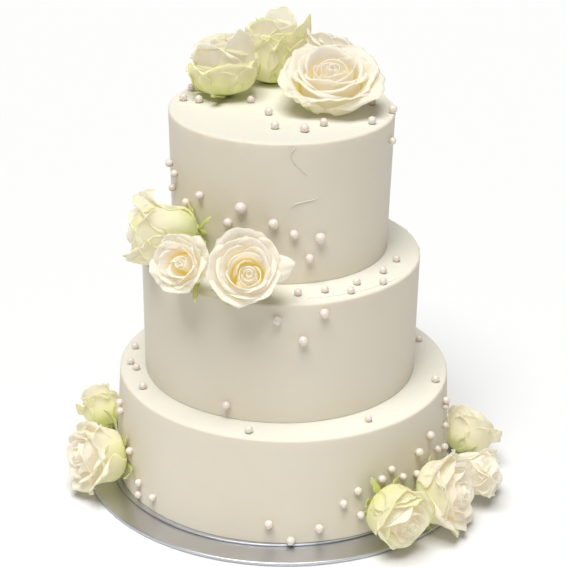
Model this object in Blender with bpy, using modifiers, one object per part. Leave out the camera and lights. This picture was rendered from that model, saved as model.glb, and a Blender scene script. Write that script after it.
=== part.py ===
"""Tiered wedding cake: three plain iced tiers on a thin silver board, dressed with fresh roses.

Metres, +Z up. The origin is the centre of the board's underside, and the cake's front faces -Y.
Each tier and each rose is one closed solid. The upper tiers stand a little towards the back.
"""

import math
from collections import namedtuple

import bpy
from mathutils import Matrix, Vector

# Contact gap left between pieces that touch.
GAP = 0.0003

# Silver board and the thin card under the cake.
BOARD_RADIUS = 0.1523
BOARD_THICKNESS = 0.0030
BOARD_EDGE_ROUND = 0.0012
CARD_RADIUS = 0.1310
CARD_THICKNESS = 0.0015
CARD_OFFSET_X = -0.0022

# Tiers: height, radius at the foot, radius at the top, centre.
Tier = namedtuple("Tier", "name height foot_radius top_radius x y")
TIERS = (
    Tier("tier_bottom", 0.0815, 0.1290, 0.1250, 0.0003, 0.0),
    Tier("tier_middle", 0.0935, 0.1026, 0.1035, -0.0029, 0.0034),
    Tier("tier_top", 0.1060, 0.0804, 0.0827, -0.0040, 0.0149),
)
TIER_EDGE_ROUND = 0.0014

# Facets round the circle.
BOARD_SEGMENTS = 80
TIER_SEGMENTS = 72
CARD_SEGMENTS = 60
BLOOM_SEGMENTS = 20

# A rose: where its calyx is, the way its face looks (azimuth from +X, elevation above
# the horizon, in degrees), its widest radius, its depth from calyx to rim, and its turn
# about its own axis in degrees.
Rose = namedtuple("Rose", "name x y z azimuth elevation radius depth turn")
ROSES = (
    # Four on the top tier, their calyxes near its middle.
    Rose("rose_top_left", -0.0385, 0.0372, 0.2904, -150, 65, 0.0258, 0.034, 10),
    Rose("rose_top_back", -0.0106, 0.0728, 0.2874, 105, 80, 0.0262, 0.037, 40),
    Rose("rose_top_side", 0.0282, 0.0600, 0.2896, 35, 60, 0.0235, 0.028, 75),
    Rose("rose_top_front", 0.0350, 0.0214, 0.2916, -95, 60, 0.0325, 0.031, 25),
    # Three on the middle tier's ledge, against the top tier.
    Rose("rose_middle_side", -0.0656, -0.0486, 0.2181, 180, -7, 0.0265, 0.043, 15),
    Rose("rose_middle_left", -0.0547, -0.0732, 0.1940, -128, 22, 0.0240, 0.035, 50),
    Rose("rose_middle_front", -0.0189, -0.0849, 0.1892, -88, 38, 0.0285, 0.032, 0),
    # Two on the board at the left.
    Rose("rose_base_left_back", -0.1380, 0.0159, 0.0141, 125, 35, 0.0205, 0.030, 30),
    Rose("rose_base_left_front", -0.1222, -0.0458, 0.0247, -162, 10, 0.0260, 0.036, 65),
    # Four on the board at the right.
    Rose("rose_base_right_back", 0.1381, -0.0078, 0.0120, 35, 40, 0.0210, 0.030, 20),
    Rose("rose_base_right_side", 0.1239, -0.0585, 0.0211, 0, 10, 0.0200, 0.030, 80),
    Rose("rose_base_right_front", 0.1028, -0.0858, 0.0244, -40, 20, 0.0285, 0.034, 5),
    Rose("rose_base_right_corner", 0.0663, -0.1202, 0.0260, -50, 5, 0.0245, 0.034, 35),
)

# Outside of a bloom, from the calyx to the rim: share of the depth, share of the radius,
# and how far each petal's back bulges.
BLOOM_OUTSIDE = (
    (0.00, 0.14, 0.00),
    (0.05, 0.38, 0.00),
    (0.30, 0.80, 0.04),
    (0.62, 0.97, 0.05),
    (0.90, 1.00, 0.07),
)
OUTER_PETALS = 5

# Face of a bloom, from the rolled rim to the bud: share of the depth, share of the radius,
# petals in the ring, bulge of each petal's edge, and rise of its tip.
BLOOM_FACE = (
    (1.00, 0.88, 5, 0.05, 0.06),
    (0.76, 0.76, 5, 0.03, 0.00),
    (1.02, 0.62, 4, 0.04, 0.06),
    (0.78, 0.50, 4, 0.02, 0.00),
    (1.04, 0.38, 3, 0.03, 0.05),
    (0.86, 0.28, 3, 0.02, 0.00),
    (1.08, 0.16, 2, 0.02, 0.04),
)
BUD_HEART_DEPTH = 0.98

# Colours in linear RGB, roughness, metallic.
Finish = namedtuple("Finish", "colour roughness metallic")
ICING = Finish((0.82, 0.77, 0.62), 0.55, 0.0)
SILVER = Finish((0.55, 0.55, 0.56), 0.30, 1.0)
PETAL = Finish((0.86, 0.84, 0.70), 0.50, 0.0)


def clear_scene():
    """Remove every object the file starts with."""
    for existing in list(bpy.data.objects):
        bpy.data.objects.remove(existing)


def make_material(name, finish):
    """A Principled material with one colour, roughness and metallic value."""
    material = bpy.data.materials.new(name)
    material.use_nodes = True
    shader = material.node_tree.nodes["Principled BSDF"]
    shader.inputs["Base Color"].default_value = (*finish.colour, 1.0)
    shader.inputs["Roughness"].default_value = finish.roughness
    shader.inputs["Metallic"].default_value = finish.metallic
    return material


def add_object(name, mesh, finish, collection):
    """Link a mesh as one named sub-part with its own material."""
    mesh.materials.append(make_material(name + "_finish", finish))
    piece = bpy.data.objects.new(name, mesh)
    collection.objects.link(piece)
    return piece


def turned_piece(name, profile, segments, finish, collection):
    """Turn a profile of (radius, height) points, top to bottom, about Z."""
    mesh = bpy.data.meshes.new(name)
    points = [(radius, 0.0, height) for radius, height in profile]
    edges = [(i, i + 1) for i in range(len(points) - 1)]
    mesh.from_pydata(points, edges, [])
    piece = add_object(name, mesh, finish, collection)
    screw = piece.modifiers.new("Turn", "SCREW")
    screw.axis = "Z"
    screw.angle = math.tau
    screw.steps = segments
    screw.render_steps = segments
    screw.use_merge_vertices = True
    screw.merge_threshold = 0.00001
    screw.use_smooth_shade = True
    return piece


def rounded_corner(radius, height, round_radius, start, steps):
    """Quarter-circle points of a corner whose sharp tip would be at (radius, height).

    start is 90 for an upper corner, taken from the top face to the wall, and 0 for a
    lower one, taken from the wall to the underside.
    """
    side = 1 if start == 90 else -1
    centre_r = radius - round_radius
    centre_z = height - side * round_radius
    points = []
    for step in range(steps + 1):
        angle = math.radians(start - 90 * step / steps)
        points.append(
            (
                centre_r + round_radius * math.cos(angle),
                centre_z + round_radius * math.sin(angle),
            )
        )
    return points


def build_board(collection):
    """Thin round board with a rolled edge."""
    profile = [(0.0, BOARD_THICKNESS)]
    profile += rounded_corner(BOARD_RADIUS, BOARD_THICKNESS, BOARD_EDGE_ROUND, 90, 3)
    profile += rounded_corner(BOARD_RADIUS, 0.0, BOARD_EDGE_ROUND, 0, 2)
    profile.append((0.0, 0.0))
    return turned_piece("board", profile, BOARD_SEGMENTS, SILVER, collection)


def build_card(collection):
    """Thin card that the bottom tier stands on."""
    height = CARD_THICKNESS - GAP
    profile = [(0.0, height), (CARD_RADIUS, height), (CARD_RADIUS, 0.0), (0.0, 0.0)]
    card = turned_piece("cake_card", profile, CARD_SEGMENTS, SILVER, collection)
    card.location = (CARD_OFFSET_X, 0.0, BOARD_THICKNESS + GAP)
    return card


def build_tiers(collection):
    """Stack the tiers on the card, each a plain drum with a crisp upper edge."""
    floor = BOARD_THICKNESS + CARD_THICKNESS
    for tier in TIERS:
        height = tier.height - GAP
        profile = [(0.0, height)]
        profile += rounded_corner(tier.top_radius, height, TIER_EDGE_ROUND, 90, 3)
        profile += [(tier.foot_radius, 0.0), (0.0, 0.0)]
        drum = turned_piece(tier.name, profile, TIER_SEGMENTS, ICING, collection)
        drum.location = (tier.x, tier.y, floor + GAP)
        floor += tier.height


def petal_share(turn, petals):
    """How far round its own petal a direction lies, from 0 at one edge to 1 at the other."""
    return (turn * petals) % 1.0


def bloom_ring(radius, height, petals, bulge, rise, scale, twist):
    """One closed ring of a bloom: each petal bulges outward and its tip rises."""
    ring = []
    for i in range(BLOOM_SEGMENTS):
        turn = i / BLOOM_SEGMENTS
        arch = math.sin(math.pi * petal_share(turn, petals))
        r = radius + bulge * scale * (arch - 0.5)
        z = height + rise * scale * (arch - 0.5)
        angle = math.tau * turn + twist
        ring.append(Vector((r * math.cos(angle), r * math.sin(angle), z)))
    return ring


def bloom_mesh(name, radius, depth):
    """A rose head as one closed loft: a cup of outer petals, then rings of petals on its face.

    Its calyx is at the origin and its face looks along +Z.
    """
    rings = []
    for level, share, bulge in BLOOM_OUTSIDE:
        rings.append(bloom_ring(share * radius, level * depth, OUTER_PETALS, bulge, 0, radius, 0))
    for order, (level, share, petals, bulge, rise) in enumerate(BLOOM_FACE):
        twist = math.radians(36) * (order // 2)
        rings.append(
            bloom_ring(share * radius, level * depth, petals, bulge, rise, radius, twist)
        )
    vertices = [Vector((0, 0, 0))]
    for ring in rings:
        vertices += ring
    vertices.append(Vector((0, 0, BUD_HEART_DEPTH * depth)))

    heart = len(vertices) - 1
    last_ring = 1 + (len(rings) - 1) * BLOOM_SEGMENTS
    faces = []
    for i in range(BLOOM_SEGMENTS):
        j = (i + 1) % BLOOM_SEGMENTS
        faces.append((0, 1 + j, 1 + i))
        faces.append((last_ring + i, last_ring + j, heart))
        for k in range(len(rings) - 1):
            low = 1 + k * BLOOM_SEGMENTS
            high = low + BLOOM_SEGMENTS
            faces.append((low + i, low + j, high + j, high + i))
    mesh = bpy.data.meshes.new(name)
    mesh.from_pydata(vertices, [], faces)
    mesh.validate()
    mesh.shade_smooth()
    return mesh


def facing(azimuth, elevation, turn):
    """Rotation that points +Z along a direction, after a turn about its own axis."""
    tilt = Matrix.Rotation(math.radians(90 - elevation), 4, "Y")
    swing = Matrix.Rotation(math.radians(azimuth), 4, "Z")
    spin = Matrix.Rotation(math.radians(turn), 4, "Z")
    return swing @ tilt @ spin


def build_roses(collection):
    """Each rose is its own solid, set by its calyx and the way it faces."""
    for rose in ROSES:
        mesh = bloom_mesh(rose.name, rose.radius, rose.depth)
        head = add_object(rose.name, mesh, PETAL, collection)
        place = Matrix.Translation((rose.x, rose.y, rose.z))
        head.matrix_world = place @ facing(rose.azimuth, rose.elevation, rose.turn)


def main():
    """Build the cake in a collection of its own."""
    clear_scene()
    collection = bpy.data.collections.new("wedding_cake")
    bpy.context.scene.collection.children.link(collection)
    build_board(collection)
    build_card(collection)
    build_tiers(collection)
    build_roses(collection)


main()
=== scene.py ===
import math
from collections import namedtuple

import bpy
import numpy as np
from mathutils import Matrix, Vector


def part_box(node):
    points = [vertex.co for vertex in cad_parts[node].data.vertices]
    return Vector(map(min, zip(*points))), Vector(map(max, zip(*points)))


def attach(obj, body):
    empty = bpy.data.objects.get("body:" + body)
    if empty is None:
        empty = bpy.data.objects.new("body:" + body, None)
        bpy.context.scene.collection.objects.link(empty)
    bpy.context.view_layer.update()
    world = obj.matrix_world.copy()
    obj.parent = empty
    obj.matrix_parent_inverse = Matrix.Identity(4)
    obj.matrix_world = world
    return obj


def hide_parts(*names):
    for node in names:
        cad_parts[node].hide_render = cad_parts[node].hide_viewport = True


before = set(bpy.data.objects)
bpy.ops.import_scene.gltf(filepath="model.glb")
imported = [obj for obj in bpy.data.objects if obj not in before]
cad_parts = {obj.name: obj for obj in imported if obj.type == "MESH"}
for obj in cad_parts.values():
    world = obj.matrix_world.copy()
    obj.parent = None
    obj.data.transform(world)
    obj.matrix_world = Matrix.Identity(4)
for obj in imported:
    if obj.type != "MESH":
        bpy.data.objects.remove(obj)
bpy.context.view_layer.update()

# Camera, as fitted to the rims of the tiers: a short telephoto looking down from the front.
CAMERA_TARGET = Vector((-0.0008, 0.0, 0.1512))
CAMERA_ELEVATION = 0.418
CAMERA_DISTANCE = 1.2748
CAMERA_ROLL = 0.015
CAMERA_LENS = 107.73
CAMERA_SENSOR = 36.0
CAMERA_NEAR, CAMERA_FAR = 0.05, 50.0

# Light: a soft sun almost overhead, from a little in front and to the left, and a plain sky.
SUN_FROM = (-0.11, -0.32, 1.0)
SUN_SPREAD = 42.0
SUN_STRENGTH = 3.8
SUN_COLOUR = (0.985, 0.985, 0.965)
# The sky's colours from the horizon up, at shares of straight up.
SKY = ((0.06, (0.30, 0.30, 0.30)), (0.60, (0.12, 0.12, 0.12)))

# Floor: pale grey, which the light turns white, a little under the board.
FLOOR_COLOUR = (0.775, 0.775, 0.785)
FLOOR_RADIUS = 30
FLOOR_DROP = 0.0002

# The tiers' walls taper a little: share by which the foot is wider than the top.
TIER_NODES = ("tier_bottom", "tier_middle", "tier_top")
TIER_TAPER = {"tier_bottom": 0.0320, "tier_middle": -0.0087, "tier_top": -0.0278}
# Rounding of the icing's upper edges, its slow waviness and the small unevenness of its upper
# edges, in metres.
ICING_EDGE_ROUND = 0.0016
WALL_UNEVEN = 0.0003
EDGE_RAGGED = 0.00022
# How far down from the edge the small unevenness reaches.
EDGE_BAND = 0.003
# Rolled edges of the silver board and of the card.
BOARD_ROLL = 0.0009
CARD_ROLL = 0.0004
# Facets round the tiers and the board, round the card, and rings up a tier's wall.
TIER_SEGMENTS = 288
CARD_SEGMENTS = 240
WALL_RINGS = 22

# Seeds: one for each tier from the first, those of the sepals beside their rose's, the pearls'.
TIER_SEED = 40
SEPAL_SEED = 100
PEARL_SEED = 77

# Each rose: the cluster it belongs to; which way its solid faces and which way its bloom is
# seen to look (azimuth and elevation in degrees); how far the bloom's heart lies from its
# solid's, in millimetres; its width and depth beside its solid's; its seed; openness from 0,
# a cup, to 1, wide open; the width of the hollow between bud and cup; how far the bud hangs
# down and to the side in the cup; how tall the outer petals stand beside the cup; greenness
# of its outer petals; warmth of its heart; width of its petals; height of its bud; how many
# petals its cup has; and how far the petals' rims roll back.
Rose = namedtuple(
    "Rose",
    "cluster faces looks seed move size open hollow hang tall green warm wide bud cups curl",
    defaults=((0, 0, 0), (1.0, 1.0), 0.4, 0.04, (0.0, 0.0), 0.9, 0.4, 0.3, 1.0, 1.0, 8, 1.0),
)
ROSES = {
    "rose_top_left": Rose(
        "top", (-150, 65), (150, 82), 3, (-1, 5, 1), (0.98, 1.08), 0.0,
        tall=0.46, green=1.0, warm=0.1, wide=1.35, cups=5, curl=0.7,
    ),
    "rose_top_back": Rose(
        "top", (105, 80), (60, 80), 4, (0, 0, 1), (0.90, 1.12), 0.0,
        tall=0.75, green=1.0, warm=0.1, wide=1.3, cups=5, curl=0.35,
    ),
    "rose_top_side": Rose(
        "top", (35, 60), (35, 60), 5, (2, 0, 4), (1.20, 1.0), 0.6, green=0.15, warm=0.1,
    ),
    "rose_top_front": Rose(
        "top", (-95, 60), (-92, 71), 6, (-2, -1, -2), (1.10, 0.95), 1.0, 0.01,
        green=0.25, warm=0.7, wide=1.1, bud=0.85,
    ),
    "rose_middle_side": Rose(
        "middle", (180, -7), (178, 0), 7, (3, 0, -4), (0.90, 1.0), 0.15,
        green=0.8, warm=0.1, wide=1.2, curl=0.8,
    ),
    "rose_middle_left": Rose(
        "middle", (-128, 22), (-112, 26), 8, (-5, 0, 2), (0.80, 0.95), 0.3, 0.27, (-0.04, 0.34),
        tall=0.9, green=0.3, warm=1.0, wide=1.1,
    ),
    "rose_middle_front": Rose(
        "middle", (-88, 38), (-88, 36), 9, (-9, 0, 3), (0.86, 0.95), 0.3, 0.14, (0.28, 0.12),
        tall=0.9, green=0.12, warm=0.9, wide=1.1, bud=0.92,
    ),
    "rose_base_left_back": Rose(
        "base_left", (125, 35), (125, 45), 10, (2, 0, 6), (0.80, 0.98), 0.0,
        tall=0.6, green=0.9, warm=0.1, wide=1.35, cups=5, curl=0.7,
    ),
    "rose_base_left_front": Rose(
        "base_left", (-162, 10), (-155, 12), 11, (3, 0, 2), open=0.4, green=0.6,
    ),
    "rose_base_right_back": Rose(
        "base_right", (35, 40), (40, 45), 31, (-4, 0, 3), (1.0, 1.0), 0.1,
        tall=0.8, green=0.7, warm=0.1, wide=1.2, cups=6, curl=0.65,
    ),
    "rose_base_right_side": Rose(
        "base_right", (0, 10), (-12, 12), 13, (2, 0, 0), (0.88, 1.18), 0.10,
        green=0.3, wide=1.3, cups=6, curl=0.5,
    ),
    "rose_base_right_front": Rose(
        "base_right", (-40, 20), (-24, 14), 14, (2, 0, -1), (1.0, 0.92), 0.3, 0.05,
        green=0.4, warm=0.5,
    ),
    "rose_base_right_corner": Rose(
        "base_right", (-50, 5), (-56, -4), 21, (4, 5, 4), (0.86, 0.92), 0.0, 0.04, (0.12, 0.08),
        tall=0.8, green=1.0, warm=0.5, wide=1.35, cups=5, curl=0.8,
    ),
}

# Petals that stand out from their rose: place round it in degrees from its lower side, belly
# and half width as shares of its radius, rise as a share of its depth, lean and roll in
# degrees, tip, greenness, and layer from 0 at the heart to 1 outside.
STRAY_PETALS = {
    "rose_top_left": (
        (95, 0.76, 1.05, 0.78, 4, 70, 0.00, 0.1, 0.62),
        (163, 0.84, 0.85, 0.85, -3, 20, 0.06, 0.3, 0.7),
        (128, 0.97, 1.05, 0.42, 12, 85, 0.02, 0.8, 1.0),
        (65, 0.97, 0.60, 0.40, 20, 60, 0.10, 1.0, 1.0),
    ),
    "rose_top_back": (
        (12, 0.66, 1.05, 0.92, 0, 12, 0.00, 0.5, 0.7),
        (-92, 0.82, 0.85, 0.88, 30, -14, 0.08, 0.9, 1.0),
        (185, 0.74, 1.10, 0.78, 2, 28, 0.00, 0.6, 0.62),
        (205, 0.95, 1.00, 0.52, 8, 60, 0.05, 0.9, 1.0),
        (225, 0.98, 0.42, 0.60, 4, 110, 0.05, 0.9, 1.0),
    ),
    "rose_top_front": (
        (-52, 0.92, 0.66, 0.75, 80, 12, 0.06, 0.7, 1.0),
        (45, 0.92, 0.66, 0.60, 82, 12, 0.06, 0.5, 1.0),
    ),
    "rose_middle_side": (
        (125, 0.94, 0.95, 0.62, 0, 60, 0.05, 0.9, 1.0),
        (60, 0.90, 0.80, 0.75, 8, 60, 0.05, 0.4, 0.9),
    ),
    "rose_middle_front": (
        (92, 0.92, 0.55, 0.85, 55, 25, 0.16, 0.1, 1.0),
        (20, 0.95, 0.45, 0.45, 25, 40, 0.10, 0.2, 1.0),
        (215, 0.36, 0.62, 0.68, -20, 6, 0.02, 0.0, 0.35),
    ),
    "rose_middle_left": ((200, 0.52, 0.60, 0.76, -30, 6, 0.02, 0.0, 0.35),),
    "rose_base_left_back": (
        (140, 0.97, 1.05, 0.46, 10, 80, 0.02, 0.9, 1.0),
        (85, 0.97, 0.80, 0.50, 14, 70, 0.05, 0.9, 1.0),
    ),
    "rose_base_left_front": ((100, 0.95, 0.85, 0.42, 8, 50, 0.02, 0.9, 1.0),),
    "rose_base_right_side": (
        (225, 0.92, 1.15, 0.80, 2, 45, 0.02, 0.1, 0.9),
        (270, 0.95, 1.00, 0.70, 6, 50, 0.05, 0.2, 1.0),
    ),
    "rose_base_right_front": ((-105, 0.92, 0.75, 0.70, 34, 30, 0.05, 0.5, 1.0),),
    "rose_base_right_corner": (
        (180, 0.94, 1.15, 0.72, -4, 40, 0.02, 1.0, 1.0),
        (215, 0.86, 1.05, 0.84, -6, 24, 0.00, 0.2, 0.7),
    ),
}

# Numbers that each point of a petal carries for the material.
PETAL_MARKS = ("along", "across", "layer", "side", "green", "warm", "petal")
# Petals: grid across and along, thickness at the base and at the rim in metres.
PETAL_ACROSS = 25
PETAL_ALONG = 20
PETAL_BASE_THICKNESS = 0.0006
PETAL_RIM_THICKNESS = 0.00024
# Colours along a petal, from the calyx at 0 to the rim at 1: on the side that faces the heart
# where it is warm or pale, on the back where it is green or plain, and on the bud.
PETAL_WHITE = (0.715, 0.652, 0.560)
PETAL_COLOURS = {
    "warm face": (
        (0.30, (0.800, 0.655, 0.210)), (0.46, (0.825, 0.700, 0.370)),
        (0.62, (0.800, 0.705, 0.500)), (0.80, PETAL_WHITE),
    ),
    "pale face": (
        (0.25, (0.520, 0.515, 0.140)), (0.48, (0.685, 0.632, 0.380)), (0.78, PETAL_WHITE),
    ),
    "green back": (
        (0.03, (0.475, 0.510, 0.125)), (0.26, (0.600, 0.602, 0.285)),
        (0.58, (0.675, 0.637, 0.435)), (1.00, (0.690, 0.645, 0.485)),
    ),
    "plain back": (
        (0.04, (0.590, 0.575, 0.400)), (0.20, (0.660, 0.620, 0.480)),
        (0.60, (0.705, 0.648, 0.540)), (1.00, PETAL_WHITE),
    ),
    "warm bud": (
        (0.20, (0.650, 0.625, 0.430)), (0.42, (0.850, 0.675, 0.330)),
        (0.70, (0.815, 0.706, 0.500)), (1.00, (0.780, 0.705, 0.560)),
    ),
    "pale bud": ((0.20, (0.640, 0.620, 0.430)), (0.80, PETAL_WHITE)),
}
PETAL_GREEN_RIM = (0.510, 0.535, 0.130)
PETAL_VEINS = (0.718, 0.669, 0.456)
PETAL_GREEN_TINT = (0.985, 1.0, 0.86)
# Painted glow: the petals give off light at this share of their own colour, standing in for light
# that comes through the thin petals.
PETAL_GLOW = 0.31
# Share of their colour that the petals keep, as their glow adds to it.
PETAL_SHADE = 0.88
# How round a petal's upper corners are, from 0 for square ones.
PETAL_ROUNDING = 0.5
# How far along a petal its belly is, and how near the bloom's axis it starts.
PETAL_BELLY = 0.35
PETAL_ROOT = 0.10
# Gap that petals and sepals keep from the icing and the board, how softly they are eased off,
# and how far from a tier's upper edge, inward and down, they are lifted onto its top.
PETAL_CLEARANCE = 0.0006
PETAL_EASE = 0.0010
EDGE_INWARD = 0.004
EDGE_DOWN = 0.012
# Petals of a bud and of the outermost turn, and the turn from one petal to the next.
BUD_PETALS = 7
OUTER_PETALS = 7
GOLDEN_TURN = 137.5

# Calyx: (share of the bloom's radius, share of its depth) from the bloom down to the stem.
CALYX_PROFILE = (
    (0.28, 0.01), (0.24, -0.02), (0.16, -0.06), (0.09, -0.10), (0.06, -0.16), (0.02, -0.17),
)
CALYX_AROUND = 16
SEPALS = 5
SEPAL_ALONG = 14
SEPAL_ACROSS = 7
# Sepals that show: place round the rose of the first one and how far they bend back, in
# degrees, and their length beside the plain ones.
SEPAL_SET = {
    "rose_top_left": (44, 78, 1.2),
    "rose_top_front": (-40, 84, 1.0),
    "rose_middle_side": (150, 112, 1.15),
    "rose_middle_left": (155, 66, 1.5),
    "rose_base_left_back": (150, 100, 1.1),
    "rose_base_left_front": (150, 100, 1.2),
    "rose_base_right_corner": (186, 108, 1.0),
}

# Fine ridges the palette knife left: on a tier's wall as (azimuth in degrees, height above its
# foot in millimetres), and on a tier's top as (azimuth, distance from its centre).
WALL_RIDGES = {
    "tier_top": (
        ((-82.3, 103.4), (-84.7, 100.2), (-85.1, 96.5), (-83.1, 91.3), (-76.9, 82.0)),
        ((-84.6, 57.2), (-81.5, 61.5), (-75.3, 63.2), (-71.3, 65.3)),
    ),
}
TOP_RIDGES = {
    "tier_middle": (
        ((-79, 94.2), (-70, 94.7), (-61, 95.8), (-50, 96.5), (-38, 98.8), (-32, 101.0)),
    ),
}
RIDGE_RADIUS = 0.00036
RIDGE_SIDES = 6
RIDGE_STEPS = 40

# Pearls on the tiers' tops: azimuth in degrees, distance from the tier's centre and diameter
# in millimetres.
PEARLS_ON_TOPS = {
    "tier_top": (
        (172, 73, 6.5), (174, 61, 6.5), (153, 76, 6), (161, 24, 6), (-115, 22, 6.5), (-95, 51, 6.5),
        (-74, 59, 7), (-55, 52, 6.5), (-30, 74, 6.5), (6, 66, 7), (-8, 81, 7),
    ),
    "tier_middle": (
        (-82, 88, 6), (-69, 87, 6), (-51, 86, 6), (-59, 96, 6), (-32, 87, 6), (-42, 98, 6),
        (-16, 88, 6),
    ),
    "tier_bottom": (
        (171, 117, 6), (-176, 117, 6), (-171, 113, 6), (-155, 115, 6.5), (-102, 116, 6.5),
        (-57, 112, 6), (-15, 118, 6.5), (20, 113, 6),
    ),
}

# Pearls pressed into the walls: azimuth in degrees, height above the tier's foot and diameter
# in millimetres.
PEARLS_ON_WALLS = {
    "tier_top": (
        (-19, 90, 6), (-164, 69, 6.5), (-156, 65, 6), (-160, 52, 6), (-133, 59, 6.5),
        (-144, 49, 6), (-109, 57, 9), (-116, 44, 7), (-93, 47, 8), (-83, 39, 7.5),
        (-70, 35, 8.5), (-75, 20, 7),
    ),
    "tier_middle": ((-91, 82, 7), (-73, 86, 7.5), (-81, 66, 7.5), (-111, 11, 6.5)),
    "tier_bottom": (
        (-165, 61, 6), (-163, 56, 6), (-152, 35, 6), (-145, 16, 6), (-145, 6, 6), (-137, 12, 6),
        (-94, 16, 7), (-87, 3, 7), (-78, 12, 7), (-70, 29, 6.5), (-65, 37, 6.5), (-64, 17, 6.5),
        (-56, 41, 6.5), (-52, 46, 6), (-47, 36, 6), (-40, 32, 6.5), (-39, 49, 7), (-32, 56, 7),
        (-26, 38, 6), (-19, 32, 6.5), (-17, 69, 6.5), (-17, 64, 6), (-17, 48, 6),
    ),
}
# The pearls' true size beside the diameters above.
PEARL_SHRINK = 0.93
# How far a pearl's centre stands out of the icing, and its least height above the tier's foot,
# as shares of its radius.
PEARL_OUT_OF_TOP = 0.88
PEARL_OUT_OF_WALL = 0.70
PEARL_ABOVE_FOOT = 0.9
# Pearls on the walls that the photo doesn't show.
BACK_PEARLS = {"tier_top": 8, "tier_middle": 7, "tier_bottom": 12}
PEARL_AROUND = 20
PEARL_LEVELS = 12


def new_object(name, mesh, material):
    """An object of its own in the scene, in one material."""
    mesh.materials.append(material)
    piece = bpy.data.objects.new(name, mesh)
    bpy.context.scene.collection.objects.link(piece)
    return piece


def mesh_from(name, points, faces, attributes=None):
    """A smooth mesh, with a number at each point for each named array of attributes."""
    mesh = bpy.data.meshes.new(name)
    mesh.from_pydata(points.tolist(), [], faces)
    mesh.shade_smooth()
    for key, values in (attributes or {}).items():
        layer = mesh.attributes.new(key, "FLOAT", "POINT")
        layer.data.foreach_set("value", np.asarray(values, np.float32))
    return mesh


def capped_faces(rings, around):
    """Faces of a closed shape whose points are rings, then one point for each end."""
    faces = []
    last = (rings - 1) * around
    for j in range(around):
        k = (j + 1) % around
        for a in range(0, last, around):
            b = a + around
            faces.append((a + j, b + j, b + k, a + k))
        faces.append((rings * around, j, k))
        faces.append((rings * around + 1, last + k, last + j))
    return faces


def join(parts):
    """Points and faces of several shapes as one."""
    points, faces, count = [], [], 0
    for part_points, part_faces in parts:
        points.append(part_points)
        faces += [[i + count for i in face] for face in part_faces]
        count += len(part_points)
    return np.concatenate(points), faces


def node_size(node):
    """Centre, radius, foot and top of a CAD node."""
    low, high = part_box(node)
    return (low + high) / 2, (high.x - low.x) / 2, low.z, high.z


def smooth(x):
    """0 below 0, 1 above 1, and an eased step between."""
    x = np.clip(x, 0.0, 1.0)
    return x * x * (3.0 - 2.0 * x)


# ---- camera, light and floor


def build_camera():
    """The fitted camera, turned a little about its own axis."""
    tilt = CAMERA_ELEVATION
    forward = Vector((0.0, math.cos(tilt), -math.sin(tilt)))
    level_right = Vector((1.0, 0.0, 0.0))
    level_up = Vector((0.0, math.sin(tilt), math.cos(tilt)))
    cos_roll, sin_roll = math.cos(CAMERA_ROLL), math.sin(CAMERA_ROLL)
    right = cos_roll * level_right + sin_roll * level_up
    up = -sin_roll * level_right + cos_roll * level_up
    data = bpy.data.cameras.new("camera")
    data.sensor_width = CAMERA_SENSOR
    data.lens = CAMERA_LENS
    data.clip_start = CAMERA_NEAR
    data.clip_end = CAMERA_FAR
    camera = bpy.data.objects.new("camera", data)
    axes = Matrix((right, up, -forward)).transposed()
    place = CAMERA_TARGET - forward * CAMERA_DISTANCE
    camera.matrix_world = Matrix.Translation(place) @ axes.to_4x4()
    bpy.context.scene.collection.objects.link(camera)
    bpy.context.scene.camera = camera


def build_light():
    """A wide soft light almost overhead, and a sky that is dim above and paler at the horizon."""
    data = bpy.data.lights.new("overhead", "SUN")
    data.energy = SUN_STRENGTH
    data.angle = math.radians(SUN_SPREAD)
    data.color = SUN_COLOUR
    lamp = bpy.data.objects.new("overhead", data)
    lamp.rotation_mode = "QUATERNION"
    lamp.rotation_quaternion = (-Vector(SUN_FROM)).to_track_quat("-Z", "Y")
    lamp.location = (0, 0, 3)
    bpy.context.scene.collection.objects.link(lamp)

    world = bpy.data.worlds.new("studio")
    bpy.context.scene.world = world
    world.use_nodes = True
    tree = world.node_tree
    coordinates = tree.nodes.new("ShaderNodeTexCoord")
    split = tree.nodes.new("ShaderNodeSeparateXYZ")
    link(tree, coordinates.outputs["Generated"], split.inputs["Vector"])
    sky = ramp(tree, split.outputs["Z"], SKY)
    link(tree, sky, tree.nodes["Background"].inputs["Color"])
    bpy.context.scene.view_settings.view_transform = "Standard"


def build_floor():
    """A plain pale floor."""
    bpy.ops.mesh.primitive_circle_add(vertices=64, radius=FLOOR_RADIUS, fill_type="NGON")
    floor = bpy.context.object
    floor.name = "floor"
    floor.location.z = -FLOOR_DROP
    material, _, shader = principled("floor_white")
    set_inputs(shader, {"Base Color": (*FLOOR_COLOUR, 1.0)})
    set_inputs(shader, {"Roughness": 0.9, "Specular IOR Level": 0.0})
    floor.data.materials.append(material)


# ---- materials


def principled(name):
    """A new material, its node tree and its Principled shader."""
    material = bpy.data.materials.new(name)
    material.use_nodes = True
    tree = material.node_tree
    return material, tree, tree.nodes["Principled BSDF"]


def link(tree, source, target):
    tree.links.new(source, target)


def set_inputs(node, values):
    for name, value in values.items():
        node.inputs[name].default_value = value


def fill(tree, socket, value):
    """Link a socket to another one, or give it a colour or a number."""
    if isinstance(value, bpy.types.NodeSocket):
        link(tree, value, socket)
    elif isinstance(value, tuple):
        socket.default_value = (*value, 1.0)
    else:
        socket.default_value = value


def noise(tree, vector, scale, detail):
    node = tree.nodes.new("ShaderNodeTexNoise")
    set_inputs(node, {"Scale": scale, "Detail": detail})
    link(tree, vector, node.inputs["Vector"])
    return node.outputs["Fac"]


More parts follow.
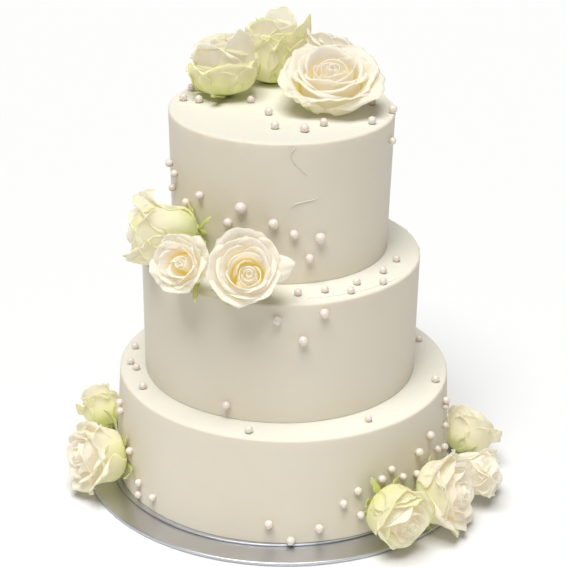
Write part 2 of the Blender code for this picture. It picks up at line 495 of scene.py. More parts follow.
def object_coordinates(tree, stretch=(1.0, 1.0, 1.0)):
    """The piece's own coordinates in metres, stretched along each axis."""
    coordinates = tree.nodes.new("ShaderNodeTexCoord")
    mapping = tree.nodes.new("ShaderNodeMapping")
    set_inputs(mapping, {"Scale": stretch})
    link(tree, coordinates.outputs["Object"], mapping.inputs["Vector"])
    return mapping.outputs["Vector"]


def attribute(tree, name):
    """A number that the mesh carries for each point."""
    node = tree.nodes.new("ShaderNodeAttribute")
    node.attribute_name = name
    return node.outputs["Fac"]


def ramp(tree, factor, stops):
    """Colour ramp from (place, colour) stops."""
    node = tree.nodes.new("ShaderNodeValToRGB")
    elements = node.color_ramp.elements
    while len(elements) < len(stops):
        elements.new(0.5)
    for element, (place, colour) in zip(elements, stops):
        element.position = place
        element.color = (*colour, 1.0)
    link(tree, factor, node.inputs["Fac"])
    return node.outputs["Color"]


def mix_colour(tree, factor, first, second, mode="MIX"):
    node = tree.nodes.new("ShaderNodeMix")
    node.data_type = "RGBA"
    node.blend_type = mode
    # The colour sockets of a mix node come after its float and vector ones.
    fill(tree, node.inputs[0], factor)
    fill(tree, node.inputs[6], first)
    fill(tree, node.inputs[7], second)
    return node.outputs[2]


def math_node(tree, operation, first, second=0.0):
    node = tree.nodes.new("ShaderNodeMath")
    node.operation = operation
    fill(tree, node.inputs[0], first)
    fill(tree, node.inputs[1], second)
    return node.outputs[0]


def map_range(tree, value, low, high, out_low=0.0, out_high=1.0):
    node = tree.nodes.new("ShaderNodeMapRange")
    set_inputs(node, {"From Min": low, "From Max": high, "To Min": out_low, "To Max": out_high})
    link(tree, value, node.inputs["Value"])
    return node.outputs["Result"]


def bump(tree, shader, height, distance, strength):
    """Fine relief from a height, distance in metres."""
    node = tree.nodes.new("ShaderNodeBump")
    set_inputs(node, {"Distance": distance, "Strength": strength})
    link(tree, height, node.inputs["Height"])
    link(tree, node.outputs["Normal"], shader.inputs["Normal"])


def vary_roughness(tree, shader, value, low, high, least, most):
    link(tree, map_range(tree, value, low, high, least, most), shader.inputs["Roughness"])


def icing_material():
    """Smooth ivory buttercream: faint clouding, fine scraper lines and tiny pits."""
    material, tree, shader = principled("icing")
    place = object_coordinates(tree)
    cloud = noise(tree, place, 9.0, 3.0)
    colour = ramp(tree, cloud, ((0.30, (0.729, 0.665, 0.541)), (0.70, (0.769, 0.713, 0.601))))
    # Painted light: the tiers' flat tops are a little paler and less yellow than their walls, as
    # the light from above bleaches them.
    colour = mix_colour(tree, attribute(tree, "upper"), colour, (0.760, 0.736, 0.649))
    link(tree, colour, shader.inputs["Base Color"])
    scraped = object_coordinates(tree, (4.0, 4.0, 60.0))
    lines = noise(tree, scraped, 6.0, 2.0)
    grain = noise(tree, place, 900.0, 2.0)
    height = math_node(tree, "ADD", math_node(tree, "MULTIPLY", lines, 0.6), grain)
    bump(tree, shader, height, 0.00008, 0.5)
    vary_roughness(tree, shader, cloud, 0.3, 0.7, 0.46, 0.58)
    set_inputs(shader, {"Subsurface Weight": 0.25, "Subsurface Radius": (1.0, 0.7, 0.4)})
    set_inputs(shader, {"Subsurface Scale": 0.004, "Specular IOR Level": 0.2})
    return material


def petal_material():
    """White petals with fine veins.

    The side that faces the heart is warm yellow low down. The back is green low down on the
    outer petals. The rim is white, with a thin green line where the petal is greenest.
    """
    material, tree, shader = principled("petal")
    along, across, layer, side, green, warm, petal = (attribute(tree, key) for key in PETAL_MARKS)
    warm_face, pale_face, green_back, plain_back, warm_bud, pale_bud = (
        ramp(tree, along, stops) for stops in PETAL_COLOURS.values()
    )
    outer = map_range(tree, layer, 0.35, 0.75)
    face = mix_colour(tree, warm, pale_face, warm_face)
    back = mix_colour(tree, green, plain_back, green_back)
    bud = mix_colour(tree, warm, pale_bud, warm_bud)
    back = mix_colour(tree, outer, bud, back)
    colour = mix_colour(tree, side, back, face)
    border = math_node(tree, "ABSOLUTE", across)
    border = math_node(tree, "MAXIMUM", along, math_node(tree, "SUBTRACT", border, 0.02))
    rim = map_range(tree, border, 0.94, 0.985)
    rim = math_node(tree, "MULTIPLY", rim, math_node(tree, "MULTIPLY", green, 0.9))
    colour = mix_colour(tree, rim, colour, PETAL_GREEN_RIM)
    # Veins run along the petal, and each petal has its own.
    place = tree.nodes.new("ShaderNodeCombineXYZ")
    for axis, value, stretch in (("X", across, 22.0), ("Y", along, 2.5), ("Z", petal, 40.0)):
        link(tree, math_node(tree, "MULTIPLY", value, stretch), place.inputs[axis])
    veins = noise(tree, place.outputs["Vector"], 1.0, 2.0)
    streak = map_range(tree, veins, 0.35, 0.75, 0.0, 0.14)
    colour = mix_colour(tree, streak, colour, PETAL_VEINS)
    colour = mix_colour(tree, green, colour, PETAL_GREEN_TINT, "MULTIPLY")
    colour = mix_colour(tree, 1.0, colour, (PETAL_SHADE,) * 3, "MULTIPLY")
    link(tree, colour, shader.inputs["Base Color"])
    # Painted glow: the petals emit their own colour, standing in for light through the thin petals.
    link(tree, colour, shader.inputs["Emission Color"])
    fine = noise(tree, object_coordinates(tree), 700.0, 2.0)
    height = math_node(tree, "ADD", veins, math_node(tree, "MULTIPLY", fine, 0.4))
    bump(tree, shader, height, 0.00012, 0.6)
    vary_roughness(tree, shader, veins, 0.3, 0.8, 0.42, 0.56)
    set_inputs(shader, {"Emission Strength": PETAL_GLOW, "Specular IOR Level": 0.25})
    set_inputs(shader, {"Subsurface Weight": 0.75, "Subsurface Radius": (1.0, 0.95, 0.8)})
    set_inputs(shader, {"Subsurface Scale": 0.003})
    return material


def sepal_material():
    """Leaf green, paler towards the tip."""
    material, tree, shader = principled("sepal")
    along = attribute(tree, "along")
    colour = ramp(
        tree,
        along,
        ((0.0, (0.37, 0.41, 0.09)), (0.5, (0.56, 0.59, 0.19)), (1.0, (0.71, 0.72, 0.35))),
    )
    speckle = noise(tree, object_coordinates(tree), 300.0, 3.0)
    spots = map_range(tree, speckle, 0.4, 0.7, 0.0, 0.35)
    colour = mix_colour(tree, spots, colour, (0.60, 0.61, 0.24))
    link(tree, colour, shader.inputs["Base Color"])
    bump(tree, shader, speckle, 0.0002, 0.5)
    vary_roughness(tree, shader, speckle, 0.3, 0.7, 0.45, 0.6)
    return material


def pearl_material():
    """Sugar pearl: cream white with a faint pink tint under a glossy coat."""
    material, tree, shader = principled("pearl")
    cloud = noise(tree, object_coordinates(tree), 160.0, 2.0)
    colour = ramp(tree, cloud, ((0.3, (0.76, 0.665, 0.595)), (0.7, (0.81, 0.74, 0.67))))
    link(tree, colour, shader.inputs["Base Color"])
    vary_roughness(tree, shader, cloud, 0.3, 0.7, 0.20, 0.32)
    bump(tree, shader, cloud, 0.0001, 0.4)
    set_inputs(shader, {"Coat Weight": 0.5, "Coat Roughness": 0.12})
    set_inputs(shader, {"Subsurface Weight": 0.3, "Subsurface Scale": 0.002})
    return material


def silver_material():
    """Satin silver foil: faint smears, a fine grain and a soft sheen."""
    material, tree, shader = principled("silver")
    place = object_coordinates(tree)
    smear = noise(tree, place, 14.0, 4.0)
    colour = ramp(tree, smear, ((0.3, (0.575, 0.58, 0.605)), (0.7, (0.655, 0.66, 0.69))))
    link(tree, colour, shader.inputs["Base Color"])
    set_inputs(shader, {"Metallic": 1.0})
    vary_roughness(tree, shader, smear, 0.3, 0.7, 0.34, 0.44)
    grain = noise(tree, place, 500.0, 2.0)
    bump(tree, shader, grain, 0.00004, 0.4)
    return material


# ---- tiers and board


def turned_mesh(name, profile, segments, rng=None):
    """Turn (radius, height) points, from the top centre down to the bottom centre, about Z.

    With rng, the wall gets a slow hand-made waviness, and its upper edge a finer one.
    """
    turn = np.linspace(0, math.tau, segments, endpoint=False)
    profile = np.array(profile)
    rings = profile[1:-1]
    wave = np.zeros((len(rings), segments))
    if rng:
        level = (rings[:, 1] - rings[:, 1].min()) / np.ptp(rings[:, 1])
        for order in range(2, 9):
            amount = rng.normal(0, WALL_UNEVEN / order)
            twist = rng.uniform(0, math.tau)
            slope = rng.uniform(-2.0, 2.0)
            wave += amount * np.sin(order * turn[None, :] + twist + slope * level[:, None])
        wave *= np.clip(rings[:, :1] / rings[:, 0].max(), 0, 1)
        corner = np.clip(1 - np.abs(rings[:, 1] - profile[0, 1]) / EDGE_BAND, 0, 1)
        corner *= rings[:, 0] > 0.97 * rings[:, 0].max()
        for order in (13, 23, 37, 53, 71):
            ragged = np.sin(order * turn + rng.uniform(0, math.tau))
            ragged *= 1 + np.sin(3 * turn + rng.uniform(0, math.tau))
            wave += EDGE_RAGGED * rng.uniform(0.3, 0.7) * corner[:, None] * ragged[None, :]
    radius = rings[:, :1] + wave
    height = np.repeat(rings[:, 1:], segments, 1)
    wall = np.stack([radius * np.cos(turn), radius * np.sin(turn), height], -1)
    ends = [[0.0, 0.0, profile[0, 1]], [0.0, 0.0, profile[-1, 1]]]
    points = np.concatenate([wall.reshape(-1, 3), ends])
    # Marks the flat top, which the icing paints paler as painted light from above.
    upper = points[:, 2] > profile[0, 1] - 1e-5
    mesh = mesh_from(name, points, capped_faces(len(rings), segments), {"upper": upper})
    mesh.set_sharp_from_angle(angle=math.radians(50))
    return mesh


def arc(centre, radius, start, end, steps):
    """Points on an arc in the (radius, height) plane, angles in degrees."""
    angles = np.radians(np.linspace(start, end, steps + 1))
    return [(centre[0] + radius * math.cos(a), centre[1] + radius * math.sin(a)) for a in angles]


def wall_radius(node, widest, share):
    """Radius of a tier's wall at a share of its height; the walls taper a little."""
    taper = TIER_TAPER[node]
    foot = widest if taper > 0 else widest * (1 + taper)
    top = widest * (1 - taper) if taper > 0 else widest
    return foot + (top - foot) * share


def build_tiers(icing):
    """Each tier's icing, with a crisp upper edge."""
    for order, node in enumerate(TIER_NODES):
        centre, widest, low, high = node_size(node)
        height = high - low
        top, corner = wall_radius(node, widest, 1.0), ICING_EDGE_ROUND
        profile = [(0.0, height)]
        profile += [(top * share, height) for share in (0.2, 0.4, 0.6, 0.75, 0.88, 0.95)]
        profile += arc((top - corner, height - corner), corner, 90, 0, 5)
        for share in np.linspace(0.06, 1.0, WALL_RINGS):
            profile.append((wall_radius(node, widest, 1 - share), height * (1 - share)))
        profile += [(wall_radius(node, widest, 0.0) * 0.6, 0.0), (0.0, 0.0)]
        name = node + "_icing"
        rng = np.random.default_rng(TIER_SEED + order)
        tier = new_object(name, turned_mesh(name, profile, TIER_SEGMENTS, rng), icing)
        tier.location = (centre.x, centre.y, low)
        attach(tier, "root")
        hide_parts(node)


def ridge_shape(points, outward):
    """A thin tube of icing along points, thinning at both ends. outward is each point's normal."""
    along = np.gradient(points, axis=0)
    along /= np.linalg.norm(along, axis=1, keepdims=True)
    across = np.cross(along, outward)
    turn = np.linspace(0, math.tau, RIDGE_SIDES, endpoint=False)[None, :, None]
    thin = 0.35 + 0.65 * np.sin(np.linspace(0, math.pi, len(points))) ** 0.5
    ring = across[:, None] * np.cos(turn) + outward[:, None] * np.sin(turn)
    tube = points[:, None] + RIDGE_RADIUS * thin[:, None, None] * ring
    faces = [face[::-1] for face in capped_faces(len(points), RIDGE_SIDES)]
    return np.concatenate([tube.reshape(-1, 3), points[[0, -1]]]), faces


def around_node(centre, azimuth, reach, level):
    """Points at azimuths in degrees, distances and heights round a node, and the way out."""
    turn = np.radians(azimuth)
    outward = np.stack([np.cos(turn), np.sin(turn), 0 * turn], -1)
    points = outward * reach[:, None] + np.array([centre.x, centre.y, 0])
    points[:, 2] += level
    return points, outward


def build_ridges(icing):
    """The fine ridges of icing, joined as one piece."""
    ridges = []
    for node, lines in WALL_RIDGES.items():
        centre, widest, foot, top = node_size(node)
        for line in lines:
            azimuth, height = smooth_path(line)
            share = height / 1000 / (top - foot)
            reach = wall_radius(node, widest, share) + RIDGE_RADIUS / 2
            points, outward = around_node(centre, azimuth, reach, foot + height / 1000)
            ridges.append(ridge_shape(points, outward))
    for node, lines in TOP_RIDGES.items():
        centre, widest, foot, top = node_size(node)
        for line in lines:
            azimuth, reach = smooth_path(line)
            points, outward = around_node(centre, azimuth, reach / 1000, top)
            ridges.append(ridge_shape(points, np.tile([0.0, 0.0, 1.0], (len(points), 1))))
    piece = new_object("icing_ridges", mesh_from("icing_ridges", *join(ridges)), icing)
    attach(piece, "root")


def smooth_path(line):
    """Points along a smooth curve through a few given ones."""
    knots = np.array(line, float)
    place = np.linspace(0, 1, len(knots))
    fine = np.linspace(0, 1, RIDGE_STEPS)
    degree = min(3, len(knots) - 1)
    return [np.polyval(np.polyfit(place, knots[:, k], degree), fine) for k in (0, 1)]


def build_board(silver):
    """The silver board with its rolled edge, and the thin card on it."""
    centre, radius, low, high = node_size("board")
    thick, roll = high - low, BOARD_ROLL
    profile = [(0.0, thick)]
    profile += [(radius * share, thick) for share in (0.3, 0.6, 0.85, 0.97)]
    profile += arc((radius - roll, thick - roll), roll, 90, 0, 6)
    profile += arc((radius - roll * 1.5, roll * 0.8), roll * 0.8, 0, -90, 5)
    profile += [(radius * 0.5, 0.0), (0.0, 0.0)]
    mesh = turned_mesh("silver_board", profile, TIER_SEGMENTS)
    board = new_object("silver_board", mesh, silver)
    board.location = (centre.x, centre.y, low)
    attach(board, "root")
    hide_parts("board")

    centre, radius, low, high = node_size("cake_card")
    thick, roll = high - low, CARD_ROLL
    profile = [(0.0, thick), (radius * 0.7, thick)]
    profile += arc((radius - roll, thick - roll), roll, 90, 0, 4)
    profile += arc((radius - roll, roll), roll, 0, -90, 4)
    profile += [(radius * 0.5, 0.0), (0.0, 0.0)]
    card = new_object("silver_card", turned_mesh("silver_card", profile, CARD_SEGMENTS), silver)
    card.location = (centre.x, centre.y, low)
    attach(card, "root")
    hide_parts("cake_card")


# ---- roses


def petal_points(shape, rng):
    """One petal as a grid of points in the bloom's own frame, whose axis is +Z.

    The petal starts near the calyx, rises as part of a bowl to its belly, then stands or leans
    out, and its rim rolls back. Returns the grid, and how far along and across each point is.
    """
    across = np.linspace(-1.0, 1.0, PETAL_ACROSS)
    low_count = PETAL_ALONG // 3
    high_count = PETAL_ALONG - low_count
    bowl = np.linspace(shape["from"], 1.0, low_count, endpoint=False) * math.pi / 2
    bowl_r = shape["root"] + (shape["belly"] - shape["root"]) * np.sin(bowl)
    bowl_z = shape["belly_height"] * (1 - np.cos(bowl))

    u = across[None, :]
    edge = np.abs(u)
    share = np.linspace(0.0, 1.0, high_count)[:, None]
    corner = 1 - np.sqrt(1 - PETAL_ROUNDING * u**2)
    outline = 1 - shape["droop"] * corner / corner.max()
    outline = outline + shape["tip"] * np.exp(-((edge / 0.32) ** 2))
    for order in (3, 5, 8):
        lobe = np.sin(order * 1.7 * u + rng.uniform(0, math.tau))
        outline = outline + shape["frill"] * rng.normal(0, 1.0) * lobe / math.sqrt(order / 3)
    length = shape["rise"] * outline
    roll = np.clip((share - shape["roll_from"]) / (1 - shape["roll_from"]), 0, 1) ** 1.4
    angle = shape["lean"] * smooth(share / 0.75)
    angle = angle + shape["roll"] * roll * (0.55 + 0.6 * edge**1.5)
    step = length / (high_count - 1)
    dr = np.sin(angle) * step
    dz = np.cos(angle) * step
    up_r = shape["belly"] + np.cumsum(dr, 0) - dr[:1]
    up_z = shape["belly_height"] + np.cumsum(dz, 0) - dz[:1]

    r = np.concatenate([np.repeat(bowl_r[:, None], PETAL_ACROSS, 1), up_r])
    z = np.concatenate([np.repeat(bowl_z[:, None], PETAL_ACROSS, 1), up_z])
    along_low = np.linspace(0.0, PETAL_BELLY, low_count, endpoint=False)
    along_high = np.linspace(PETAL_BELLY, 1.0, high_count)
    along = np.concatenate([along_low, along_high])[:, None] * np.ones_like(u)

    wide = 0.44 + 0.56 * smooth(along / 0.56)
    wide = wide * np.sqrt(1 - PETAL_ROUNDING * np.clip((along - 0.45) / 0.55, 0, 1) ** 2)
    arc_length = u * shape["half_width"] * wide
    wrap = np.maximum(r * shape["flatness"], 0.002)
    swing = np.clip(arc_length / wrap, -2.9, 2.9)
    side = wrap * np.sin(swing)
    out = r - wrap * (1 - np.cos(swing))
    lateral = np.clip((edge - 0.55) / 0.45, 0, 1) ** 2
    out = out + shape["side_roll"] * lateral * smooth((along - 0.30) / 0.6)
    out = out + shape["spiral"] * u
    for order in (2, 3, 5, 8):
        size = shape["ruffle"] * rng.normal(0, 1.0 / order**0.8)
        wave = np.sin(order * 1.6 * u + rng.uniform(0, math.tau) + 2.0 * along)
        out = out + size * wave * smooth((along - 0.45) / 0.55)
        lift = np.cos(order * 2.1 * u + rng.uniform(0, math.tau))
        z = z + 0.6 * size * lift * smooth((along - 0.6) / 0.4)

    turn = shape["turn"]
    x = out * math.cos(turn) - side * math.sin(turn) + shape["shift"][0]
    y = out * math.sin(turn) + side * math.cos(turn) + shape["shift"][1]
    return np.stack([x, y, z], -1), along, u * np.ones_like(along)


def bloom_shapes(rose, radius, depth, rng):
    """Nested petals from the bud outward: the bud, a cup round its hollow, then outer petals."""
    golden = math.radians(GOLDEN_TURN)
    start = rng.uniform(0, math.tau)
    bud_edge = 0.50 - 0.5 * rose.hollow
    shapes = []
    for n in range(BUD_PETALS):
        s = n / (BUD_PETALS - 1)
        belly = radius * (0.11 + (bud_edge - 0.11) * s**0.9)
        rise = depth * (0.54 - 0.02 * s) * rose.bud
        closed = math.asin(min(0.62 * belly / rise, 0.32))
        shape = {
            "belly": belly,
            "belly_height": depth * (0.46 - 0.06 * s) * rose.bud,
            "rise": rise,
            "lean": -closed * (1 - 0.45 * s),
            "roll": math.radians(10 + 26 * s) * rng.uniform(0.7, 1.2),
            "roll_from": 0.72,
            "droop": 0.22 + 0.06 * s,
            "tip": 0.02,
            "frill": 0.010,
            "half_width": radius * (0.42 + 0.50 * s),
            "flatness": 1.0,
            "side_roll": radius * 0.015 * s,
            "ruffle": radius * 0.008,
            "layer": 0.3 * s,
        }
        shapes.append(shape)
    for n in range(rose.cups):
        s = n / (rose.cups - 1)
        roll = math.radians(38 + 30 * s + 25 * rose.open) * rose.curl
        shape = {
            "belly": radius * (bud_edge + 0.04 + rose.hollow * 0.8 + 0.22 * s),
            "belly_height": depth * (0.38 - 0.08 * s),
            "rise": depth * (0.58 + 0.06 * s) * rng.uniform(0.94, 1.05),
            "lean": math.radians(-2 + (4 + 28 * rose.open) * s + 4 * rose.open),
            "roll": roll * rng.uniform(0.7, 1.3),
            "roll_from": 0.60,
            "droop": (0.24 + 0.05 * s) / rose.wide**2,
            "tip": rng.uniform(0.0, 0.05),
            "frill": 0.016,
            "half_width": radius * (0.90 + 0.14 * s) * rose.wide,
            "flatness": 1.02 + 0.05 * s,
            "side_roll": radius * 0.05,
            "ruffle": radius * 0.018,
            "layer": 0.4 + 0.2 * s,
        }
        shapes.append(shape)
    for n in range(OUTER_PETALS):
        s = n / (OUTER_PETALS - 1)
        lean = math.radians(3 + (8 + 24 * rose.open) * s + 42 * rose.open)
        roll = math.radians(62 + 20 * s - 25 * rose.open) * rose.curl
        shape = {
            "belly": radius * (0.80 + 0.16 * s),
            "belly_height": depth * (0.28 - 0.03 * s),
            "rise": depth * rose.tall * (0.72 + 0.06 * s) * rng.uniform(0.90, 1.08),
            "lean": lean + rng.normal(0, 0.09),
            "roll": roll * rng.uniform(0.6, 1.3),
            "roll_from": 0.50,
            "droop": (0.28 + 0.05 * s) / rose.wide**2,
            "tip": rng.uniform(0.0, 0.09),
            "frill": 0.024,
            "half_width": radius * (1.06 + 0.08 * s) * (0.5 + 0.5 * rose.wide),
            "flatness": 1.10 + 0.08 * s,
            "side_roll": radius * 0.10,
            "ruffle": radius * 0.042,
            "layer": 0.7 + 0.3 * s,
        }
        shapes.append(shape)
    for n, shape in enumerate(shapes):
        shape["root"] = PETAL_ROOT * radius
        shape["from"] = 0.5 if n < BUD_PETALS else 0.0
        shape["spiral"] = radius * 0.022
        shape["turn"] = start + golden * n + rng.normal(0, 0.08)
        loose = radius * (1 - smooth((shape["layer"] - 0.3) / 0.25))
        shape["shift"] = (rose.hang[0] * loose, rose.hang[1] * loose)
    return shapes


def stray_shape(stray, radius, depth):
    """A listed petal, on the outside of a bloom."""
    turn, belly, half_width, rise, lean, roll, tip, green, layer = stray
    return {
        "root": PETAL_ROOT * radius,
        "from": 0.0,
        "belly": radius * belly,
        "belly_height": depth * 0.26,
        "rise": depth * rise,
        "lean": math.radians(lean),
        "roll": math.radians(roll),
        "roll_from": 0.55,
        "droop": 0.32,
        "tip": tip,
        "frill": 0.02,
        "half_width": radius * half_width,
        "flatness": 1.3,
        "side_roll": radius * 0.06,
        "ruffle": radius * 0.03,
        "layer": layer,
        "spiral": 0.0,
        "turn": math.radians(turn),
        "shift": (0.0, 0.0),
        "green": green,
    }


def facing(azimuth, elevation):
    """Rotation that points +Z along a direction and keeps +X on the lower side."""
    swing = Matrix.Rotation(math.radians(azimuth), 3, "Z")
    return swing @ Matrix.Rotation(math.radians(90 - elevation), 3, "Y")


def rose_frame(node, rose):
    """How a bloom is turned and where it has its calyx, and its radius and depth.

    The bloom keeps near the middle of its solid and turns about it to the way it looks.
    """
    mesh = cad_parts[node].data
    points = np.array([v.co for v in mesh.vertices], float)
    turn = facing(*rose.faces)
    local = points @ np.array(turn)
    low, high = local.min(0), local.max(0)
    radius = (high[0] - low[0] + high[1] - low[1]) / 4
    depth = high[2] - low[2]
    heart = turn @ Vector((low + high) / 2) + Vector(rose.move) / 1000
    turn = facing(*rose.looks)
    calyx = heart - turn @ Vector((0, 0, depth * rose.size[1] / 2))
    return np.array(turn), np.array(calyx), radius * rose.size[0], depth * rose.size[1]


def soft_limit(value, limit):
    """value, eased so that it never goes under limit."""
    return limit + PETAL_EASE * np.logaddexp(0.0, (value - limit) / PETAL_EASE)


def clear_of_cake(points):
    """Ease points off the icing and the board, so that petals rest against them."""
    out = points.copy()
    for node in TIER_NODES:
        middle, radius, foot, top = node_size(node)
        centre = np.array(middle.xy)
        away = out[..., :2] - centre
        distance = np.maximum(np.linalg.norm(away, axis=-1), 1e-6)
        inside_top = smooth((radius - distance) / EDGE_INWARD) * (out[..., 2] > top - EDGE_DOWN)
        lifted = soft_limit(out[..., 2], top + PETAL_CLEARANCE)
        out[..., 2] = out[..., 2] * (1 - inside_top) + lifted * inside_top
        beside = (out[..., 2] > foot - 0.001) & (out[..., 2] < top - 0.001)
        pushed = soft_limit(distance, radius + PETAL_CLEARANCE)
        scale = np.where(beside, pushed / distance, 1.0)
        out[..., :2] = centre + away * scale[..., None]
    board_top = node_size("board")[3]
    out[..., 2] = soft_limit(out[..., 2], board_top + PETAL_CLEARANCE)
    return out


def petal_shell(grid, along):
    """Both sides of a petal as one closed thin shell.

    Returns its points, its faces, and 1 for each point on the side that faces the heart.
    """
    normal = np.cross(np.gradient(grid, axis=1), np.gradient(grid, axis=0))
    normal /= np.maximum(np.linalg.norm(normal, axis=-1, keepdims=True), 1e-9)
    rim = np.clip(along, 0, 1)[..., None]
    half = 0.5 * (PETAL_BASE_THICKNESS * (1 - rim) + PETAL_RIM_THICKNESS * rim)
    points = [(grid + way * normal * half).reshape(-1, 3) for way in (-1, 1)]
    rows, columns = grid.shape[:2]
    count = rows * columns
    index = np.arange(count).reshape(rows, columns)
    a, b = index[:-1, :-1], index[:-1, 1:]
    c, d = index[1:, 1:], index[1:, :-1]
    under = np.stack([a, d, c, b], -1).reshape(-1, 4)
    over = np.stack([a, b, c, d], -1).reshape(-1, 4) + count
    border = np.concatenate([index[0, :-1], index[:-1, -1], index[-1, :0:-1], index[:0:-1, 0]])
    after = np.roll(border, -1)
    wall = np.stack([border, after, after + count, border + count], -1)
    side = np.concatenate([np.ones(count), np.zeros(count)])
    return np.concatenate(points), np.concatenate([under, over, wall]).tolist(), side


def build_rose(node, petal):
    """One rose's petals, joined as one piece."""
    rose = ROSES[node]
    turn, origin, radius, depth = rose_frame(node, rose)
    rng = np.random.default_rng(rose.seed)
    shapes = bloom_shapes(rose, radius, depth, rng)
    grids = [petal_points(shape, rng) for shape in shapes]
    # The bloom is scaled so that its petals fill its radius and depth.
    every = np.concatenate([grid.reshape(-1, 3) for grid, along, across in grids])
    reach = np.percentile(np.hypot(every[:, 0], every[:, 1]), 98)
    height = np.percentile(every[:, 2], 99)
    fit = np.array([radius / reach, radius / reach, depth / height])
    for stray in STRAY_PETALS.get(node, ()):
        shapes.append(stray_shape(stray, radius, depth))
        grids.append(petal_points(shapes[-1], rng))
    shells, marks = [], []
    for shape, (grid, along, across) in zip(shapes, grids):
        grid = clear_of_cake(grid * fit @ turn.T + origin)
        shell, quads, side = petal_shell(grid, along)
        shells.append((shell, quads))
        outside = 0.4 + 0.6 * smooth((shape["layer"] - 0.35) / 0.5)
        green = rose.green * rng.uniform(0.5, 1.0) * outside
        green = shape.get("green", green)
        places = [np.tile(along.ravel(), 2), np.tile(across.ravel(), 2)]
        numbers = (shape["layer"], side, green, rose.warm, rng.uniform(0, 1))
        marks.append(places + [number * np.ones(len(shell)) for number in numbers])
    marks = dict(zip(PETAL_MARKS, np.concatenate(marks, axis=1)))
    name = node + "_petals"
    bloom = new_object(name, mesh_from(name, *join(shells), marks), petal)
    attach(bloom, "root")
    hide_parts(node)


# ---- calyxes and sepals


def sepal_grid(length, width, lean, curl, turn, root, rng):
    """A narrow pointed leaf with a few side lobes, springing from the calyx."""
    v = np.linspace(0, 1, SEPAL_ALONG)[:, None]
    u = np.linspace(-1, 1, SEPAL_ACROSS)[None, :]
    lobes = 1 + 0.28 * np.sin(v * 15 + rng.uniform(0, math.tau)) * (v > 0.3)
    half = width * np.maximum(np.sin(np.pi * (0.12 + 0.86 * v)) ** 0.8, 0.04) * lobes
    angle = lean + curl * v**1.5
    step = length / (SEPAL_ALONG - 1)
    out = root + np.cumsum(np.sin(angle) * step, 0) * np.ones_like(u)
    up = np.cumsum(np.cos(angle) * step, 0) * np.ones_like(u)
    side = u * half
    up = up - 0.25 * np.abs(u) * half
    x = out * math.cos(turn) - side * math.sin(turn)
    y = out * math.sin(turn) + side * math.cos(turn)
    return np.stack([x, y, up], -1), v * np.ones_like(u)


def calyx_grid(radius, depth):
    """The green cup under a bloom and a short stub of stem."""
    around = np.linspace(0, math.tau, CALYX_AROUND + 1)[None, :]
    profile = np.array(CALYX_PROFILE)
    ring = profile[:, :1] * radius
    level = profile[:, 1:] * depth * np.ones_like(around)
    along = np.linspace(0.0, 0.5, len(profile))[:, None] * np.ones_like(around)
    return np.stack([ring * np.cos(around), ring * np.sin(around), level], -1), along


def build_sepals(green):
    """The calyx and sepals of every rose, joined for each cluster."""
    for cluster in ("top", "middle", "base_left", "base_right"):
        shells, runs = [], []
        for node, rose in ROSES.items():
            if rose.cluster != cluster:
                continue
            turn, origin, radius, depth = rose_frame(node, rose)
            rng = np.random.default_rng(rose.seed + SEPAL_SEED)
            leaves = [calyx_grid(radius, depth)]
            first, bend, longer = SEPAL_SET.get(node, (360 * rng.uniform(0, 1), 78, 1.0))
            start = math.radians(first)
            for n in range(SEPALS):
                length = radius * longer * rng.uniform(0.65, 1.05)
                lean = math.radians(bend + rng.uniform(-16, 16))
                curl = math.radians(rng.uniform(-75, 45))
                way = start + math.tau * n / SEPALS + rng.normal(0, 0.15)
                width = radius * rng.uniform(0.09, 0.14)
                leaves.append(sepal_grid(length, width, lean, curl, way, radius * 0.2, rng))
            for grid, along in leaves:
                shell, quads, side = petal_shell(clear_of_cake(grid @ turn.T + origin), along)
                shells.append((shell, quads))
                runs.append(np.tile(along.ravel(), 2))
        name = "sepals_" + cluster
        mesh = mesh_from(name, *join(shells), {"along": np.concatenate(runs)})
        piece = new_object(name, mesh, green)
        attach(piece, "root")


# ---- pearls


def pearl_at(centre, azimuth, reach, level, radius):
    """A pearl's centre, at an azimuth in degrees round a tier, and its radius."""
    turn = math.radians(azimuth)
    return (centre.x + reach * math.cos(turn), centre.y + reach * math.sin(turn), level), radius


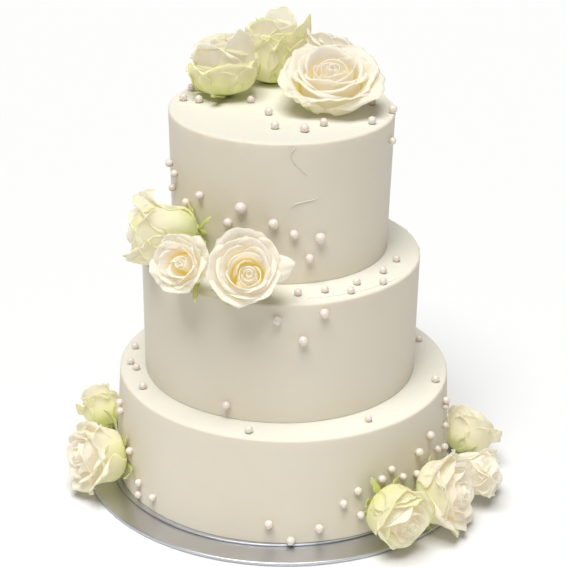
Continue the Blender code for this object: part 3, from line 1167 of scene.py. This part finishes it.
def pearl_on_wall(node, azimuth, height, radius):
    """The same for a pearl pressed into a tier's wall, at a height above the tier's foot."""
    centre, widest, foot, top = node_size(node)
    reach = wall_radius(node, widest, height / (top - foot)) + PEARL_OUT_OF_WALL * radius
    level = foot + max(height, PEARL_ABOVE_FOOT * radius)
    return pearl_at(centre, azimuth, reach, level, radius)


def pearl_places():
    """Where each pearl's centre is, and its radius."""
    places = []
    for node, pearls in PEARLS_ON_TOPS.items():
        centre, widest, foot, top = node_size(node)
        for azimuth, reach, size in pearls:
            r = PEARL_SHRINK * size / 2000
            places.append(pearl_at(centre, azimuth, reach / 1000, top + PEARL_OUT_OF_TOP * r, r))
    for node, pearls in PEARLS_ON_WALLS.items():
        for azimuth, height, size in pearls:
            places.append(pearl_on_wall(node, azimuth, height / 1000, PEARL_SHRINK * size / 2000))
    rng = np.random.default_rng(PEARL_SEED)
    for node, amount in BACK_PEARLS.items():
        centre, widest, foot, top = node_size(node)
        for n in range(amount):
            azimuth, r = rng.uniform(28, 165), rng.uniform(0.0030, 0.0040)
            share = rng.uniform(0.06, 0.85) ** 1.4
            places.append(pearl_on_wall(node, azimuth, share * (top - foot), r))
    return places


def build_pearls(pearl):
    """Every sugar pearl, joined as one piece."""
    turn = np.linspace(0, math.tau, PEARL_AROUND, endpoint=False)
    polar = np.linspace(0, math.pi, PEARL_LEVELS + 1)[1:-1, None]
    level = np.cos(polar) * np.ones_like(turn)
    rings = np.stack([np.sin(polar) * np.cos(turn), np.sin(polar) * np.sin(turn), level], -1)
    ball = np.concatenate([rings.reshape(-1, 3), [[0, 0, 1], [0, 0, -1]]])
    faces = capped_faces(len(polar), PEARL_AROUND)
    balls = [(ball * radius + np.array(centre), faces) for centre, radius in pearl_places()]
    piece = new_object("pearls", mesh_from("pearls", *join(balls)), pearl)
    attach(piece, "root")


# ---- build


def main():
    build_camera()
    build_light()
    build_floor()
    icing = icing_material()
    silver = silver_material()
    petal = petal_material()
    build_tiers(icing)
    build_ridges(icing)
    build_board(silver)
    for node in ROSES:
        build_rose(node, petal)
    build_sepals(sepal_material())
    build_pearls(pearl_material())


main()
